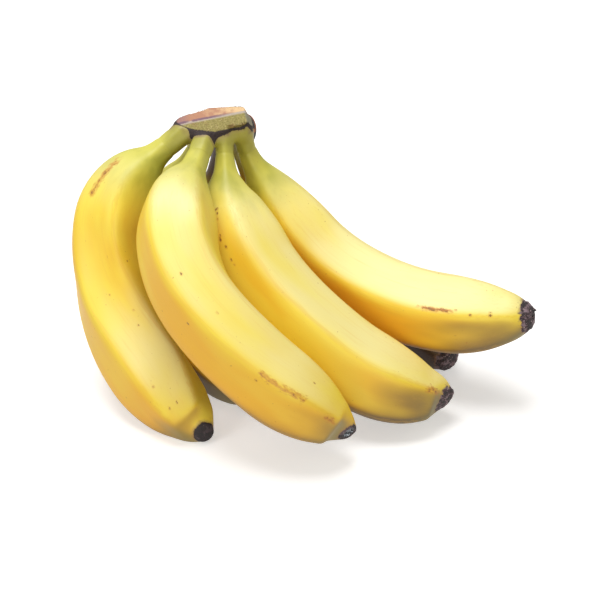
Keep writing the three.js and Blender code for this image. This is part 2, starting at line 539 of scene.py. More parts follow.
def vector_attribute(mesh, name, values):
    made = mesh.attributes.new(name, "FLOAT_VECTOR", "POINT")
    made.data.foreach_set("vector", np.asarray(values, np.float32).ravel())


SEAM = 1e-6


def sew_grid():
    """Closes a rolled grid along its seam and at its pinched ends. The faces then point outwards."""
    bpy.ops.object.mode_set(mode="EDIT")
    bpy.ops.mesh.select_all(action="SELECT")
    bpy.ops.mesh.remove_doubles(threshold=SEAM)
    bpy.ops.mesh.normals_make_consistent(inside=False)
    bpy.ops.object.mode_set(mode="OBJECT")


frame_crown = read_vectors(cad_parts["crown"].data, "co")
print("the frame's crown is up to", round(float(frame_crown[:, 2].max() / MM), 1), "mm high")


# %% Rings from the crown to the tip
WAIST_LENGTH = 9 * MM


def finger_profile(m, tip):
    """Places along and radii of the rings: first the body, then the dry end."""
    length = m["length"]
    start = length - tip["stub"] * MM
    body = np.linspace(0, start, ALONG + 1 - TIP_RINGS)[:-1]
    widths = np.interp(body, m["along"], m["width"])
    end_width = float(np.interp(start, m["along"], m["width"]))
    near = step(start - WAIST_LENGTH, start, body)
    widths = widths * (1 - tip["waist"] * np.sin(math.pi * near))
    end = evenly_spaced(end_profile(length, end_width, tip), TIP_RINGS + 1)
    profile = np.concatenate([np.stack([body, widths], 1), end])
    profile[-1, 1] = 0.0
    return profile, end_width


def lay_out(mesh, m, tip):
    """Where each point of the grid belongs: its angle round, place along and plain radius."""
    flat = read_vectors(mesh, "co")
    angle = (flat[:, 0] + 0.5) * math.tau
    ring = np.rint((flat[:, 1] + 0.5) * ALONG).astype(int)
    profile, end_width = finger_profile(m, tip)
    run = np.concatenate([[0], np.cumsum(np.linalg.norm(np.diff(profile, axis=0), axis=1))])
    to_tip = (run[-1] - run)[ring]
    along = profile[ring, 0]
    radius = np.where(ring == 0, 0.0, profile[ring, 1])
    around = np.stack([np.cos(angle) * radius, np.sin(angle) * radius, along], -1) / MM
    dark_from = to_tip[ring == ALONG - TIP_RINGS][0] / MM + tip["dark"]
    return {
        "angle": angle, "along": along, "radius": radius, "to_tip": to_tip, "around": around,
        "length": m["length"], "end_width": end_width, "dark_from": dark_from,
    }


print("rings from root to tip:", len(finger_profile(MEASURED["finger_front"], PLAIN_TIP)[0]))

# %% [markdown]
# A plain swept tube looks like plastic. The real peel has soft facets that fade
# towards the tip, slow lumps, and a dry end as rough as bark. Each is a small
# change of the radius, made with waves and noise that start from a fixed seed,
# so every run gives the same fingers. At the very end the roughness pushes
# along the finger instead of outwards, because the skin faces that way there.

# %% Facets, lumps and the rough dry end
ROOT_SHRINK = 0.75  # the root is hidden in the crown, so it is thinned to stay inside
FADE_FROM, FADE_TO = 3.4, 0.8  # facets fade between these distances, in end widths from the tip
HORN_WIDTH = 0.9
LUMPS = (  # height as a share of the radius, waves along the finger, waves round it
    (0.007, 1.3, 2),
    (0.006, 2.1, 1),
    (0.004, 3.4, 3),
)
print("lumps rise to", [round(100 * height, 1) for height, *_ in LUMPS], "percent of the radius")


def reach_and_shift(laid, tip, seed):
    """How far each point stands off the middle line, and how far it moves towards the tip."""
    rng = np.random.default_rng(seed)
    along, angle, radius, around = (laid[k] for k in ("along", "angle", "radius", "around"))
    to_tip, end_width, dark_from = (laid[k] for k in ("to_tip", "end_width", "dark_from"))
    section = facet_shape(angle, sharpness_at(along / MM))
    section = 1 + (section - 1) * step(FADE_TO * end_width, FADE_FROM * end_width, to_tip)
    swollen = np.clip((radius / MM - 4) / 12, 0, 1)
    lumps = sum(
        height * wave(rng, along, angle, laid["length"], cycles, turns)
        for height, cycles, turns in LUMPS
    )
    dry = 1 - step(dark_from - 2, dark_from + 1, to_tip / MM)
    rough = roughness_of(around, 0.55, seed) + 0.5 * roughness_of(around, 1.3, seed)
    knobs = dry * tip["rough"] * rough * MM
    outwards = step(0, 0.35 * end_width, to_tip)
    hidden = 1 - ROOT_SHRINK * (1 - step(2, 15, along / MM))
    reach = radius * hidden * section * (1.0 + swollen * lumps) + knobs * outwards
    shift = knobs * (1 - outwards)
    for turn, share_out, height in tip["horns"]:
        horn = np.array([math.cos(math.radians(turn)), math.sin(math.radians(turn))]) * share_out
        away = np.linalg.norm(around[:, :2] * MM / end_width - horn, axis=1) * end_width / MM
        bulge = np.exp(-((away / HORN_WIDTH) ** 2))
        shift = shift + height * MM * bulge * (to_tip < 1.5 * end_width)
    return reach, shift


# %% Bend the grid along the measured line
LEAN_LENGTH = 13 * MM


def bend(laid, m, tip, reach, shift):
    """The place of every point. Near the tip the rings lean towards where the tip faces."""
    along, length = laid["along"], laid["length"]
    i = np.clip(along / length * (LINE_POINTS - 1), 0, LINE_POINTS - 1)
    low = np.minimum(i.astype(int), LINE_POINTS - 2)
    part = (i - low)[:, None]

    def at(values):
        values = values if values.ndim > 1 else values[:, None]
        return values[low] * (1 - part) + values[low + 1] * part

    middle, tangent, sides, ups = (at(m[k]) for k in ("line", "tangent", "sides", "ups"))
    turn = laid["angle"] + at(m["turn"])[:, 0]
    spoke = sides * np.cos(turn)[:, None] + ups * np.sin(turn)[:, None]
    lean = step(length - LEAN_LENGTH, length, along)[:, None] * tip["lean"]
    towards = unit(tangent * (1 - lean) + np.array(tip["faces"]) * lean)
    pivot = np.cross(tangent, towards)
    spoke = spoke + np.cross(pivot, spoke) + np.cross(pivot, np.cross(pivot, spoke)) / (
        1 + (tangent * towards).sum(-1, keepdims=True)
    )
    place = middle + spoke * reach[:, None] + towards * shift[:, None]
    place[:, 2] = np.maximum(place[:, 2], 0.0)
    return place


print("the last", round(LEAN_LENGTH / MM), "mm of a finger may lean")

# %% [markdown]
# Ripe peel carries brown specks and long scuffs where leaves and neighbours
# rubbed it. They could be painted as a picture, but a picture needs unwrapping
# and shows its grain close up. Instead each point of the skin is told how far it
# is from the nearest mark, and the paint turns that distance into a stain. The
# marks are strewn by seeded rules over whole stretches of the skin, given in
# millimetres from the root and degrees round the finger.

# %% Distance to the nearest mark
FAR_AWAY = 50.0


def mark_distance(marks, laid):
    """How far each point of the skin is from the nearest mark's edge, in millimetres."""
    along, angle, radius = (laid[k] for k in ("along", "angle", "radius"))
    nearest = np.full(along.shape, FAR_AWAY)
    for place, turn, end_place, end_turn, half in marks:
        across = (angle - math.radians(turn) + math.pi) % math.tau - math.pi
        away = np.stack([along / MM - place, across * radius / MM], -1)
        run = np.stack(
            [np.full(along.shape, end_place - place), math.radians(end_turn - turn) * radius / MM], -1
        )
        share = np.clip((away * run).sum(-1) / np.maximum((run * run).sum(-1), 1e-9), 0, 1)
        nearest = np.minimum(nearest, np.linalg.norm(away - share[:, None] * run, axis=-1) - half)
    return nearest


print("with no mark in reach the distance is", FAR_AWAY, "mm")


# %% Specks and scuffs
SPECK_LENGTH = 0.6
STROKES = 4


def specks(seed, count, start, end, turn, spread, size):
    """Small specks strewn over one stretch of the skin."""
    rng = np.random.default_rng(seed)
    places = rng.uniform(start, end, count)
    turns = turn + rng.uniform(-spread, spread, count)
    sizes = size * rng.uniform(0.5, 1.2, count)
    return [(a, t, a + SPECK_LENGTH, t, r) for a, t, r in zip(places, turns, sizes)]


def scuff(seed, start, end, turn, wander, size):
    """A broken rubbed line: a few strokes one after another along the skin."""
    rng = np.random.default_rng(seed)
    knots = np.linspace(start, end, STROKES + 1)
    turns = turn + rng.uniform(-wander, wander, STROKES + 1)
    sizes = size * rng.uniform(0.6, 1.3, STROKES)
    return [(knots[i], turns[i], knots[i + 1], turns[i + 1], sizes[i]) for i in range(STROKES)]


SPOTS = {
    "finger_left": specks(1, 7, 60, 160, -40, 45, 0.3),
    "finger_front": specks(2, 5, 70, 170, 0, 40, 0.35),
    "finger_middle": specks(3, 9, 36, 72, 30, 4, 0.4),
    "finger_right": scuff(4, 138, 150, -5, 1, 0.5) + specks(5, 4, 145, 175, 0, 8, 0.4),
}
SCARS = {
    "finger_left": scuff(6, 32, 46, -25, 3, 1.1),
    "finger_front": scuff(7, 130, 151, 0, 2, 0.7) + scuff(8, 165, 169, 6, 1, 0.7),
    "finger_middle": scuff(9, 168, 175, 0, 5, 0.8),
    "finger_right": scuff(10, 136, 152, -5, 1, 0.2),
}
print("marks:", sum(len(rows) for rows in (*SPOTS.values(), *SCARS.values())))

# %% [markdown]
# Some back fingers are painted dark brown from the neck down and from the tip
# up: painted shadow where they lie between and under the others. Some undersides
# get more painted shade than others. The paint can't know any of that from a
# point's place alone, so it is written on the mesh as attributes.

# %% What the paint needs to know
# painted shadow: how dark brown the necks of the back fingers and the back right tip are painted
NECK_SHADOW = {"finger_back_middle": 0.95, "finger_back_right": 0.3, "finger_back_left": 0.1}
TIP_SHADOW = {"finger_back_right": 0.95}
# how strong the painted shade on each finger's underside is
SHADE_STRENGTH = {"finger_left": 0.25, "finger_front": 0.65, "finger_middle": 1.1}
PLAIN_SHADE_STRENGTH = 1.0
FIRST_SEED = 3  # each finger has its own seed, counted from here
SEED_SPACING = 200.0  # keeps one finger's pattern from repeating on the next
FULL_KNOBS = 0.7
print("aged from the neck:", NECK_SHADOW, "and from the tip:", TIP_SHADOW)


def write_attributes(mesh, node, laid, tip, seed):
    along, to_tip, length = laid["along"], laid["to_tip"], laid["length"]
    same = np.ones(len(along))
    # painted shadow, dark brown from the neck down and from the tip up
    painted_shadow = NECK_SHADOW.get(node, 0) * (1 - step(30, 75, along / MM))
    painted_shadow = painted_shadow + TIP_SHADOW.get(node, 0) * step(length - 32 * MM, length - 18 * MM, along)
    inside = 1 - step(0.5, 0.75, laid["radius"] / laid["end_width"])
    float_attribute(mesh, "from_crown", along / MM)
    float_attribute(mesh, "to_tip", to_tip / MM)
    float_attribute(mesh, "ridge", np.cos(laid["angle"] * RIDGES))
    float_attribute(mesh, "painted_shadow", painted_shadow)
    float_attribute(mesh, "shade_strength", same * SHADE_STRENGTH.get(node, PLAIN_SHADE_STRENGTH))
    float_attribute(mesh, "tip_dark", same * laid["dark_from"])
    float_attribute(mesh, "hollow", step(1.5, 2.5, tip["dish"]) * inside)
    float_attribute(mesh, "knobby", same * min(tip["rough"] / FULL_KNOBS, 1))
    vector_attribute(mesh, "straight", laid["around"] + np.array([0, 0, SEED_SPACING * seed]))
    float_attribute(mesh, "spot", mark_distance(SPOTS.get(node, []), laid))
    float_attribute(mesh, "scar", mark_distance(SCARS.get(node, []), laid))


# %% Roll a grid into a finger
def roll_finger(node, seed):
    m = MEASURED[node]
    tip = {**PLAIN_TIP, **TIPS.get(node, {})}
    bpy.ops.object.select_all(action="DESELECT")
    bpy.ops.mesh.primitive_grid_add(x_subdivisions=AROUND, y_subdivisions=ALONG, size=1)
    piece = bpy.context.object
    piece.name = "skin_of_" + node
    mesh = piece.data
    laid = lay_out(mesh, m, tip)
    reach, shift = reach_and_shift(laid, tip, seed)
    write_points(mesh, bend(laid, m, tip, reach, shift))
    write_attributes(mesh, node, laid, tip, seed)
    sew_grid()
    bpy.ops.object.shade_smooth()
    float_attribute(mesh, "upward", read_vectors(mesh, "normal")[:, 2])
    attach(piece, "root")
    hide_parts(node)
    print(piece.name, len(mesh.vertices), "points")
    return piece


SKINS = [roll_finger(node, seed) for seed, node in enumerate(FINGER_NODES, start=FIRST_SEED)]


# %% [markdown]
# ## The peel
#
# Ripe peel is yellow and stays green longest at the neck, with some olive near
# the tip. A painted highlight makes it paler where it faces the sky, and painted
# shade turns it orange and darker below. Each of these is a mask that mixes one
# more colour over the last. A painted picture would need the peel unwrapped.
# The masks read the attributes, mostly in millimetres, and noise that is
# stretched along the finger, because the fibres of the peel run that way.

# %% Colours of the peel
YELLOWS = colour(244, 220, 74), colour(240, 206, 58)
# a painted highlight for the upper facets, and a warm painted shade for the undersides
PAINTED_TOP_LIGHT, WARM_PAINTED_SHADE = colour(248, 244, 180), colour(240, 176, 48)
# painted shade for the undersides, the second one nearer the tip
PAINTED_SHADES = colour(128, 86, 42), colour(100, 84, 56)
FIBRE, RIDGE, FRECKLE = colour(222, 172, 66), colour(226, 176, 62), colour(164, 108, 44)
# olive near the tip, partly its own green and partly painted shade on the undersides; a dark brown for
# painted shadow
OLIVE_AND_SHADE, PEEL_SHADOW_BROWN = colour(142, 132, 76), colour(62, 40, 30)
NECK_GREENS, DULL_GREEN = (colour(206, 200, 84), colour(178, 176, 66)), colour(152, 146, 62)
# tan and dark brown for painted shadow on the necks
NECK_SHADOW_TAN, NECK_SHADOW_BROWN = colour(142, 108, 62), colour(66, 44, 32)
SPECK_EDGE, SPECK_HEART = colour(206, 140, 52), colour(112, 66, 34)
SCAR_EDGE, SCAR_HEART = colour(196, 126, 46), colour(124, 74, 40)
SINGED, CHARRED = colour(150, 112, 86), (colour(17, 12, 13), colour(86, 62, 68))
GREY_PATCH, BLACK_PATCH, TIP_DUST = colour(142, 122, 130), colour(16, 10, 11), colour(168, 148, 152)
# the hollow's grey, and pale bluish specks of painted highlight on it
HOLLOW_GREY, HOLLOW_HIGHLIGHTS = colour(44, 48, 54), colour(196, 208, 222)
print("yellow of the peel:", [round(part, 2) for part in YELLOWS[0]])


# %% Green necks
def neck_cloud(p, place):
    return p.speckle(p.stretch(place, (1.0, 1.0, 0.5)), 0.11, 2.0)


def neck_skin(p, cloud, from_crown, painted_shadow):
    """The green skin of the necks, which the crown's lower edge shares."""
    green = p.mix(p.ramp(cloud, 0.35, 0.65), *NECK_GREENS)
    green = p.mix(p.ramp(15.0 - from_crown + cloud * 12.0, 0.0, 18.0) * 0.7, green, DULL_GREEN)
    # painted shadow: tan, then dark brown, where a neck lies in the shade of the others
    tan = p.mix(painted_shadow * 0.9, green, NECK_SHADOW_TAN)
    return p.mix(p.ramp(painted_shadow, 0.4, 0.95) * 0.95, tan, NECK_SHADOW_BROWN)


# %% Living skin
def living_skin(p, straight, fibre):
    from_crown, to_tip, upward, ridge, painted_shadow, shade_strength = p.attributes(
        "from_crown", "to_tip", "upward", "ridge", "painted_shadow", "shade_strength"
    )
    cloud = p.speckle(p.stretch(straight, (1.0, 1.0, 0.35)), 0.06, 2.0)
    freckle = p.speckle(straight, 0.75, 1.0, 0.5)
    skin = p.mix(p.ramp(cloud, 0.38, 0.62), *YELLOWS)
    # painted highlight: the skin is paler where it faces up
    skin = p.mix(p.ramp(upward + (cloud - 0.5) * 0.5, 0.45, 1.0) * 0.75, skin, PAINTED_TOP_LIGHT)
    under = upward * -1.0 + (cloud - 0.5) * 0.6
    near_tip = p.ramp(90.0 - to_tip, 0.0, 66.0)
    # warm painted shade: orange on the undersides
    skin = p.mix(p.ramp(under, -0.6, 0.25) * 0.85, skin, WARM_PAINTED_SHADE)
    # darker painted shade on the undersides, more near the tip and on some fingers than on others
    shade = p.mix(near_tip, *PAINTED_SHADES)
    skin = p.mix(p.ramp(under + near_tip * shade_strength * 0.62, 0.25, 0.8) * (0.3 + 0.6 * shade_strength), skin, shade)
    skin = p.mix(p.ramp(fibre, 0.5, 0.8) * 0.18, skin, FIBRE)
    skin = p.mix(p.ramp(ridge + (fibre - 0.5) * 0.5, 0.93, 1.0) * 0.2, skin, RIDGE)
    neck = neck_skin(p, neck_cloud(p, straight), from_crown, painted_shadow)
    skin = p.mix(p.ramp(44.0 - from_crown + cloud * 26.0, 4.0, 36.0), skin, neck)
    # olive near the tip: partly the tip's own green, partly painted shade, as it is shown only on the
    # undersides
    olive = p.ramp(26.0 - to_tip + cloud * 10.0, 0.0, 24.0)
    skin = p.mix(olive * p.ramp(under, -0.5, 0.3) * 0.75, skin, OLIVE_AND_SHADE)
    # painted shadow: dark brown on the back fingers
    skin = p.mix(p.ramp(painted_shadow, 0.4, 0.95) * 0.95, skin, PEEL_SHADOW_BROWN)
    return p.mix(p.ramp(freckle, 0.75, 0.8) * 0.4, skin, FRECKLE)


# %% Specks and scars on it
def marked_skin(p, skin, straight, grain):
    """Each mark has a dark heart and a paler edge, and noise frays both."""
    spot, scar = p.attributes("spot", "scar")
    blotch = p.speckle(p.stretch(straight, (1.0, 1.0, 0.4)), 0.9, 3.0, 0.6)
    frayed = spot + (grain - 0.5) * 0.9
    skin = p.mix(p.ramp(frayed, 0.7, 0.0) * 0.4, skin, SPECK_EDGE)
    skin = p.mix(p.ramp(frayed, 0.2, -0.15) * 0.85, skin, SPECK_HEART)
    wander = scar + (blotch - 0.5) * 6.0 + (grain - 0.5) * 1.5
    skin = p.mix(p.ramp(wander, 1.2, -0.8) * 0.7, skin, SCAR_EDGE)
    return p.mix(p.ramp(wander, -0.7, -1.5) * 0.7, skin, SCAR_HEART)


# %% The dry flower end
def dry_end(p, skin, straight, grain):
    """Charred and patchy where it is knobbly, grey where it is hollow, with pale specks of painted
    highlight in the hollow.
    """
    to_tip, tip_dark, knobby, hollow = p.attributes("to_tip", "tip_dark", "knobby", "hollow")
    speck = p.speckle(straight, 1.1, 2.0, 0.6)
    patch = p.speckle(straight, 0.32, 2.0, 0.5)
    frayed = p.speckle(straight, 0.42, 3.0, 0.6)
    ragged = (grain - 0.5) * 0.8 + (frayed - 0.5) * (0.6 + knobby * 6.0) + tip_dark - to_tip
    skin = p.mix(p.ramp(ragged, -1.6, 0.2) * 0.6, skin, SINGED)
    dark = p.ramp(ragged, -0.3, 0.4)
    ash = p.mix(p.ramp(grain, 0.42, 0.62) * (0.05 + knobby * 0.95), *CHARRED)
    ash = p.mix(p.ramp(patch, 0.52, 0.6) * knobby * 0.75, ash, GREY_PATCH)
    ash = p.mix(p.ramp(patch, 0.47, 0.4) * knobby * 0.85, ash, BLACK_PATCH)
    ash = p.mix(p.ramp(speck, 0.6, 0.72) * knobby, ash, TIP_DUST)
    ash = p.mix(p.ramp(hollow, 0.3, 0.7), ash, HOLLOW_GREY)
    # painted highlight: pale bluish specks in the hollow
    ash = p.mix(p.ramp(speck, 0.53, 0.58) * p.ramp(hollow, 0.4, 0.8), ash, HOLLOW_HIGHLIGHTS)
    return p.mix(dark, skin, ash), dark


# %% Peel paint
def peel_paint():
    p = Paint(bpy.data.materials.new("ripe_peel"))
    straight = p.attribute("straight", "Vector")
    fibre = p.speckle(p.stretch(straight, (1.0, 1.0, 0.05)), 0.9, 3.0, 0.6)
    grain = p.speckle(straight, 1.6, 3.0, 0.6)
    skin = living_skin(p, straight, fibre)
    skin = marked_skin(p, skin, straight, grain)
    skin, dark = dry_end(p, skin, straight, grain)
    roughness = 0.38 + 0.18 * grain + 0.25 * dark
    height = fibre * 0.2 + grain * 0.3 + dark * grain * 1.5
    return p.waxy(skin, roughness, height, 0.3, 0.0004)


PEEL = peel_paint()
for skin_piece in SKINS:
    skin_piece.data.materials.clear()
    skin_piece.data.materials.append(PEEL)
print("peel paint:", len(PEEL.node_tree.nodes), "nodes on", len(SKINS), "fingers")

# %% [markdown]
# ## The crown
#
# The crown is the cushion of stalk that all seven necks grow out of. A knife
# cut it off the plant, so its top has flat facets with a dark dried rim, and
# below the rim its skin runs down over the necks like webbing between fingers.
# From above it is like a small boat, pointed at the left and blunt at the right.
# Booleans would leave hard creases there. Instead a rough shape is joined and
# remeshed into small even squares, and then every point is moved onto one
# smooth shape that is given by a formula: distances to the parts, blended.

# %% Distances that blend
def blend_min(a, b, softness):
    """The smaller distance, with a fillet where the two are alike."""
    near = np.maximum(softness - np.abs(a - b), 0) / softness
    return np.minimum(a, b) - near * near * softness / 4


def blend_max(a, b, softness):
    return -blend_min(-a, -b, softness)


print("a softness of 3 mm fills a corner by", -float(blend_min(0.0, 0.0, 3.0)), "mm")

# %% Sleeves round the necks
SLEEVE_LENGTH = 20.0
SLEEVE_OVER, SLEEVE_UNDER = 0.15, 0.9  # how far it stands out at the crown and sinks in below


def down_neck(points, node):
    """Distance down a neck and from its middle line, the neck's radius that way, and the angle."""
    m = MEASURED[node]
    rows = np.flatnonzero(m["along"] < 1.6 * SLEEVE_LENGTH * MM)[::2]
    line, tangent = m["line"][rows] / MM, m["tangent"][rows]
    nearest = np.empty(len(points), int)
    for i in range(0, len(points), 4000):  # in batches, to save memory
        gap = points[i : i + 4000, None, :] - line[None]
        nearest[i : i + 4000] = (gap * gap).sum(-1).argmin(1)
    gap = points - line[nearest]
    ahead = (gap * tangent[nearest]).sum(-1)
    across = gap - ahead[:, None] * tangent[nearest]
    sides, ups = m["sides"][rows][nearest], m["ups"][rows][nearest]
    angle = np.arctan2((across * ups).sum(-1), (across * sides).sum(-1)) - m["turn"][rows][nearest]
    along = m["along"][rows][nearest] / MM + ahead
    radius = np.interp(along * MM, m["along"], m["width"]) / MM
    return along, np.linalg.norm(across, axis=1), radius * facet_shape(angle, NECK_SHARPNESS), angle


for node in FINGER_NODES:
    root = MEASURED[node]["line"][:1] / MM
    print(node, "has a neck of", round(float(down_neck(root, node)[2][0]), 1), "mm radius at its root")


# %% Knife cuts and the dried rim
RIM_LEFT, RIM_RIGHT = 2.0, 0.7
RIDGE_POINT = np.array([-43.6, 37.9, 121.2])
TOP_NORMAL = unit(np.array([-0.07, -0.30, 0.954]))
FRONT_NORMAL = unit(np.array([-0.033, -0.464, 0.885]))
RIGHT_NORMAL = unit(np.array([0.86, 0.0, 0.50]))
RIGHT_CORNER = np.array([-28.1, 41.5, 124.4])
KNIFE_STOP, KNIFE_RISE = 0.8, 1.3  # this far outside the wall, a cut starts to climb this steeply


def knife(points, wall=0):
    """Heights above the top cut, the front cut and the cut at the right end.

    The cuts end a little outside the crown's wall, so that they leave the necks whole.
    """
    outside = KNIFE_RISE * np.maximum(wall - KNIFE_STOP, 0)
    return (
        (points - RIDGE_POINT) @ TOP_NORMAL - outside,
        (points - RIDGE_POINT) @ FRONT_NORMAL - outside,
        (points - RIGHT_CORNER) @ RIGHT_NORMAL - outside,
    )


def rim_height(points):
    """How far the dried rim reaches down from the cuts: thick at the left and thin at the right."""
    return RIM_LEFT + (RIM_RIGHT - RIM_LEFT) * step(-42, -31, points[:, 0])


for name, normal in (("upper", TOP_NORMAL), ("lower", FRONT_NORMAL), ("right", RIGHT_NORMAL)):
    print("the", name, "cut tilts", round(math.degrees(math.acos(normal[2]))), "degrees")

# %% Outline, lobe and torn spikes
BOAT_MIDDLE = np.array([-42.6, 37.7])
BOAT_LEFT, BOAT_RIGHT, BOAT_DEEP = 15.0, 16.2, 5.9
BOAT_FRONT_POWERS, BOAT_BACK_POWERS = (1.6, 2.0), (1.25, 4.5)  # left and right ends
FLARE_LONG, FLARE_DEEP = 0.10, 0.25  # how much it widens for each millimetre down
BOAT_FLOOR = 110.5
DEEPEST = 12.0
LOBE_MIDDLE, LOBE_HALF = np.array([-27.3, 44.0, 111.2]), np.array([5.0, 5.2, 8.0])
SPIKES = (
    (np.array([-28.4, 39.8, 118.4]), np.array([-26.5, 41.0, 120.9]), 0.9),
    (np.array([-55.4, 38.0, 118.6]), np.array([-57.8, 38.5, 120.6]), 0.9),
)


def boat_wall(points, depth):
    """Distance outside the crown's outline, pointed at the left and blunt at the right.

    A power of 2 gives a round end. Less makes it pointed and more makes it square.
    """
    dx, dy = points[:, 0] - BOAT_MIDDLE[0], points[:, 1] - BOAT_MIDDLE[1]
    behind, right = step(-1, 1, dy), step(-4, 4, dx)
    front_power, back_power = (
        left_end * (1 - right) + right_end * right
        for left_end, right_end in (BOAT_FRONT_POWERS, BOAT_BACK_POWERS)
    )
    power = front_power * (1 - behind) + back_power * behind
    long_half = BOAT_LEFT + (BOAT_RIGHT - BOAT_LEFT) * right + FLARE_LONG * depth
    deep_half = BOAT_DEEP + FLARE_DEEP * depth
    ring = (np.abs(dx / long_half) ** power + np.abs(dy / deep_half) ** power) ** (1 / power)
    return (ring - 1) * deep_half


def spike(points, base, end, radius):
    run = end - base
    share = np.clip((points - base) @ run / (run @ run), 0, 1)
    return np.linalg.norm(points - base - share[:, None] * run, axis=1) - radius * (1 - 0.85 * share)


print("outline at the cut:", BOAT_LEFT + BOAT_RIGHT, "by", 2 * BOAT_DEEP, "mm")

# %% The crown as one formula
WEB_SOFTNESS = 3.0
CUT_SOFTNESS, SPIKE_SOFTNESS, LOBE_SOFTNESS = 0.5, 0.6, 1.6
LIP = 0.45  # the dried rim swells this far out of the wall


def lobe_distance(points):
    """Below 0 inside the lobe, as a share of its half size."""
    return np.linalg.norm((points - LOBE_MIDDLE) / LOBE_HALF, axis=1) - 1


def crown_field(points):
    """Negative inside the crown and positive outside, in millimetres."""
    cuts = np.max(knife(points), axis=0)
    depth = np.clip(-cuts, 0, DEEPEST)
    height = rim_height(points)
    lip = LIP * step(0.0, 0.5, depth) * (1 - step(0.7, 1.15, depth / height))
    wall = boat_wall(points, depth)
    body = wall - lip
    body = blend_max(body, BOAT_FLOOR - points[:, 2], 4.0)
    for node in FINGER_NODES:
        along, across, radius, _ = down_neck(points, node)
        over = SLEEVE_OVER - (SLEEVE_OVER + SLEEVE_UNDER) * step(8, SLEEVE_LENGTH, along)
        sleeve = blend_max(across - radius - over, along - SLEEVE_LENGTH, 1.0)
        cap = np.hypot(np.maximum(along, -20), across) - radius - over
        sleeve = np.where(along < 0, cap, sleeve)
        sleeve = blend_max(sleeve, cuts + height * 0.9 - 1.3 * np.maximum(wall, 0), 1.6)
        body = blend_min(body, sleeve, 0.1 + WEB_SOFTNESS * (1 - step(5, 14, along)))
    body = blend_min(body, lobe_distance(points) * LOBE_HALF.min(), LOBE_SOFTNESS)
    for cut in knife(points, wall):
        body = blend_max(body, cut, CUT_SOFTNESS)
    for base, end, radius in SPIKES:
        body = blend_min(body, spike(points, base, end, radius), SPIKE_SOFTNESS)
    return body


under_ridge = crown_field(RIDGE_POINT[None] - np.array([0, 0, 5]))
print("5 mm under the ridge, the surface is", round(-float(under_ridge[0]), 1), "mm away")


# %% [markdown]
# The formula says where the surface is, but not how its points are joined. So a
# rough crown is put together from plain tubes, balls and a box that enclose the
# real shape. The voxel remesh melts them into one closed skin of small even
# squares, which is fine enough for the rim.

# %% Rough parts of the crown
REMESH_SIZE = 0.42 * MM
SPARE = 0.3 * MM


def rough_sleeve(node):
    """A plain tube round a neck, from the root down."""
    m = MEASURED[node]
    bpy.ops.mesh.primitive_grid_add(x_subdivisions=24, y_subdivisions=16, size=1)
    tube = bpy.context.object
    for vertex in tube.data.vertices:
        around, share = (vertex.co.x + 0.5) * math.tau, vertex.co.y + 0.5
        i = int(np.searchsorted(m["along"], share * SLEEVE_LENGTH * MM))
        radius = m["width"][i] + SPARE if 0 < share < 1 else 0.0
        spoke = m["sides"][i] * math.cos(around) + m["ups"][i] * math.sin(around)
        vertex.co = m["line"][i] + spoke * radius
    sew_grid()
    return tube


def rough_ball(middle, half):
    bpy.ops.mesh.primitive_uv_sphere_add(segments=32, ring_count=16, radius=1)
    ball = bpy.context.object
    for vertex in ball.data.vertices:
        vertex.co = Vector(middle) * MM + Vector(vertex.co * Vector(half)) * MM
    return ball


def rough_box(low, high):
    bpy.ops.mesh.primitive_cube_add(size=1)
    box = bpy.context.object
    low, high = Vector(low) * MM, Vector(high) * MM
    for vertex in box.data.vertices:
        share = vertex.co + Vector((0.5, 0.5, 0.5))
        vertex.co = low + (high - low) * share
    return box


# %% Join and remesh
bpy.ops.object.select_all(action="DESELECT")
rough = [rough_sleeve(node) for node in FINGER_NODES]
rough.append(rough_ball((-42.6, 37.7, 116.5), (16.0, 7.0, 6.5)))
rough.append(rough_box((-45.0, 31.5, 113.0), (-26.5, 44.8, 125.0)))
rough.extend(rough_ball((base + end) / 2, (1.8, 1.4, 2.0)) for base, end, _ in SPIKES)
rough.append(rough_ball(LOBE_MIDDLE, LOBE_HALF))
bpy.ops.object.select_all(action="DESELECT")
for part in rough:
    part.select_set(True)
crown = rough[-1]
bpy.context.view_layer.objects.active = crown
bpy.ops.object.join()
crown.name = "cut_crown"
remesh = crown.modifiers.new("even_squares", "REMESH")
remesh.mode = "VOXEL"
remesh.voxel_size = REMESH_SIZE
bpy.ops.object.modifier_apply(modifier=remesh.name)
print("rough crown:", len(crown.data.vertices), "points")


# %% [markdown]
# The remeshed skin follows the tubes and balls only roughly. Each point asks the
# formula how far off the surface it is and which way is out, then moves there.
# Short steps, taken several times over, keep neighbours from crossing. Shrinkwrap
# would need a finished mesh to wrap onto, and there is only a formula.

# %% Move every point onto the formula's surface
ROUNDS = 9


def pull_to_surface(points, field, rounds, probe=0.04, reach=0.8):
    for _ in range(rounds):
        value = field(points)
        slope = np.stack(
            [(field(points + probe * np.eye(3)[i]) - value) / probe for i in range(3)], -1
        )
        steep = np.maximum((slope * slope).sum(-1), 0.2)  # so that a flat spot sends no point far
        move = slope * (value / steep)[:, None]
        far = np.maximum(np.linalg.norm(move, axis=1, keepdims=True) / reach, 1)
        points = points - move / far
    return points


crown_points = pull_to_surface(read_vectors(crown.data, "co") / MM, crown_field, ROUNDS)
print("left over:", round(float(np.abs(crown_field(crown_points)).mean()), 4), "mm")
write_points(crown.data, crown_points * MM)

# %% [markdown]
# The cut dried for days, so its face is finely wrinkled and its rim is crusty
# and black. The wrinkles are noise that moves each point along its normal, more
# on the rim than on the cut and hardly at all on the green skin. The same
# distances that shape the crown then tell the paint where each finish belongs.

